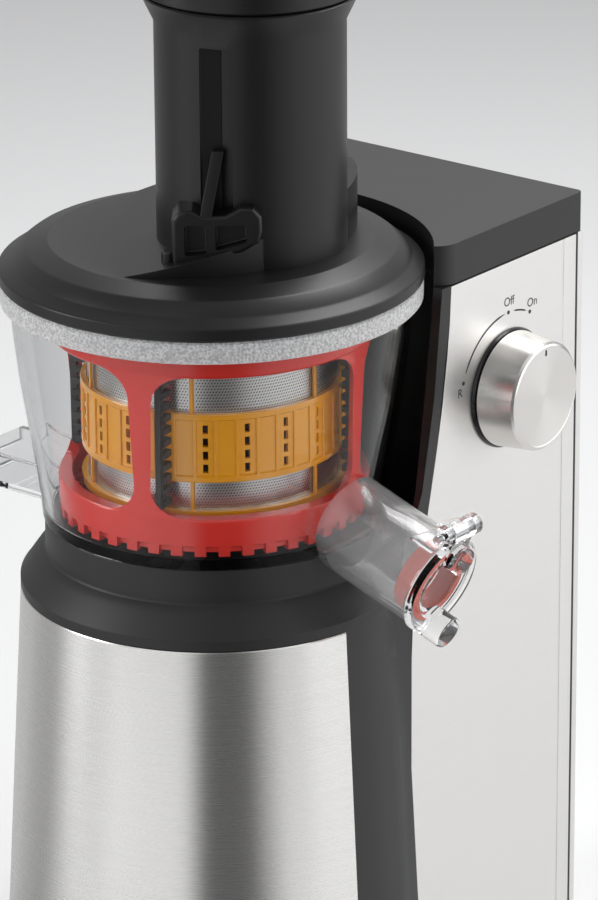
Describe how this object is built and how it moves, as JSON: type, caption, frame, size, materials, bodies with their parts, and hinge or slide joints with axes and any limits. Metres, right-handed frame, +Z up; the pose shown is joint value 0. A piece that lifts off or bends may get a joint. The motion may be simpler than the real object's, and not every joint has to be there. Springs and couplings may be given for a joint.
{
  "type": "cold press juicer",
  "caption": "Cold press juicer with a steel drum base, rear tower with a rotary knob, clear bowl with a red wiper, amber strainer, juice spout and black feed lid.",
  "frame": {"origin": "on the table under the bowl's axis", "axes": "+Z up along the bowl's axis, -Y to the front, +X to the side with the knob and spout"},
  "size_m": [0.2189, 0.2254, 0.4363],
  "materials": {
    "black_plastic": "fine texture",
    "lid_plastic": "satin",
    "brushed_steel": "brushed",
    "knob_metal": "spun",
    "clear_plastic": "clear",
    "cap_plastic": "clear",
    "red_plastic": "gloss",
    "amber_plastic": "gloss",
    "mesh_steel": "perforated",
    "orange_silicone": "satin",
    "black_silicone": "satin",
    "foot_rubber": "matte",
    "auger_plastic": "satin",
    "print_ink": "matte",
    "bezel_plastic": "gloss",
    "zinc_steel": "bright",
    "gear_plastic": "satin",
    "case_aluminium": "cast",
    "core_steel": "laminated",
    "copper_wire": "enamelled",
    "board_green": "gloss",
    "switch_plastic": "satin"
  },
  "bodies": {
    "base": {"base_plate": "black_plastic", "rubber_feet": "foot_rubber", "base_screws": "zinc_steel", "main_housing": "black_plastic", "drum_cladding": "brushed_steel", "side_panel_right": "brushed_steel", "side_panel_left": "brushed_steel", "rear_cover": "brushed_steel", "rear_cover_screws": "zinc_steel", "cord_gland": "foot_rubber", "tower_cover": "black_plastic", "bowl_seat": "black_plastic", "seat_neck": "black_plastic", "gearbox_posts": "zinc_steel", "gearbox_case": "case_aluminium", "gearbox_lid": "case_aluminium", "motor_can": "zinc_steel", "motor_bridge": "case_aluminium", "motor_bearings": "zinc_steel", "stator_core": "core_steel", "stator_coils": "copper_wire", "output_bearings": "zinc_steel", "output_seal": "black_silicone", "control_board": "board_green", "board_standoffs": "gear_plastic", "safety_switch": "switch_plastic", "rotary_switch": "switch_plastic", "knob_bezel": "bezel_plastic", "dial_marks": "print_ink"},
    "motor_rotor": {"rotor_core": "core_steel", "motor_shaft": "zinc_steel", "motor_pinion": "zinc_steel", "cooling_fan": "gear_plastic"},
    "idler": {"idler_shaft": "zinc_steel", "idler_gear": "gear_plastic"},
    "output_drive": {"output_gear": "gear_plastic", "output_shaft": "zinc_steel"},
    "knob": {"control_knob": "knob_metal", "knob_pointer": "print_ink", "switch_shaft": "zinc_steel"},
    "bowl": {"juice_bowl": "clear_plastic", "bowl_floor": "clear_plastic", "strainer_floor": "amber_plastic", "juice_spout": "clear_plastic", "pulp_outlet": "clear_plastic", "spout_hinge_pin": "zinc_steel", "strainer_basket": "amber_plastic", "strainer_mesh_lower": "mesh_steel", "strainer_mesh_upper": "mesh_steel"},
    "cap": {"spout_cap": "cap_plastic", "spout_seal": "orange_silicone"},
    "planet_front": {"planet_gear_front": "gear_plastic"},
    "planet_rear": {"planet_gear_rear": "gear_plastic"},
    "wiper": {"wiper_frame": "red_plastic", "wiper_blades": "black_silicone"},
    "auger_body": {"auger": "auger_plastic"},
    "lid_body": {"lid": "lid_plastic"},
    "pusher_body": {"pusher": "lid_plastic"}
  },
  "joints": [
    {"name": "motor_spin", "type": "hinge", "parent": "base", "child": "motor_rotor", "pos_m": [0, 0, 0.06], "axis": [0, 0, 1], "continuous": true},
    {"name": "idler_spin", "type": "hinge", "parent": "base", "child": "idler", "pos_m": [0, 0.036, 0.13], "axis": [0, 0, 1], "continuous": true},
    {"name": "output_spin", "type": "hinge", "parent": "base", "child": "output_drive", "pos_m": [0, 0, 0.18], "axis": [0, 0, 1], "continuous": true},
    {"name": "knob_turn", "type": "hinge", "parent": "base", "child": "knob", "pos_m": [0.0671, 0.0852, 0.2474], "axis": [1, 0, 0], "range_deg": [-27.5, 72]},
    {"name": "bowl_lift", "type": "slide", "parent": "base", "child": "bowl", "axis": [0, 0, 1], "range_m": [0, 0.06]},
    {"name": "cap_swing", "type": "hinge", "parent": "bowl", "child": "cap", "pos_m": [0.10791, 0, 0.22823], "axis": [0, -1, 0], "range_deg": [0, 100]},
    {"name": "planet_front_spin", "type": "hinge", "parent": "bowl", "child": "planet_front", "pos_m": [0, -0.03, 0.219], "axis": [0, 0, 1], "continuous": true},
    {"name": "planet_rear_spin", "type": "hinge", "parent": "bowl", "child": "planet_rear", "pos_m": [0, 0.03, 0.219], "axis": [0, 0, 1], "continuous": true},
    {"name": "wiper_spin", "type": "hinge", "parent": "bowl", "child": "wiper", "pos_m": [0, 0, 0.25], "axis": [0, 0, 1], "continuous": true},
    {"name": "auger_spin", "type": "hinge", "parent": "bowl", "child": "auger_body", "pos_m": [0, 0, 0.25], "axis": [0, 0, 1], "continuous": true},
    {"name": "lid_lift", "type": "slide", "parent": "bowl", "child": "lid_body", "axis": [0, 0, 1], "range_m": [0, 0.1]},
    {"name": "pusher_slide", "type": "slide", "parent": "lid_body", "child": "pusher_body", "axis": [0, 0, 1], "range_m": [0, 0.07]}
  ],
  "couplings": [
    {"joint": "idler_spin", "follows": "motor_spin", "ratio": -0.2973},
    {"joint": "output_spin", "follows": "motor_spin", "ratio": 0.12242},
    {"joint": "auger_spin", "follows": "motor_spin", "ratio": 0.12242},
    {"joint": "planet_front_spin", "follows": "motor_spin", "ratio": -0.081611},
    {"joint": "planet_rear_spin", "follows": "motor_spin", "ratio": -0.081611},
    {"joint": "wiper_spin", "follows": "motor_spin", "ratio": -0.030604}
  ]
}
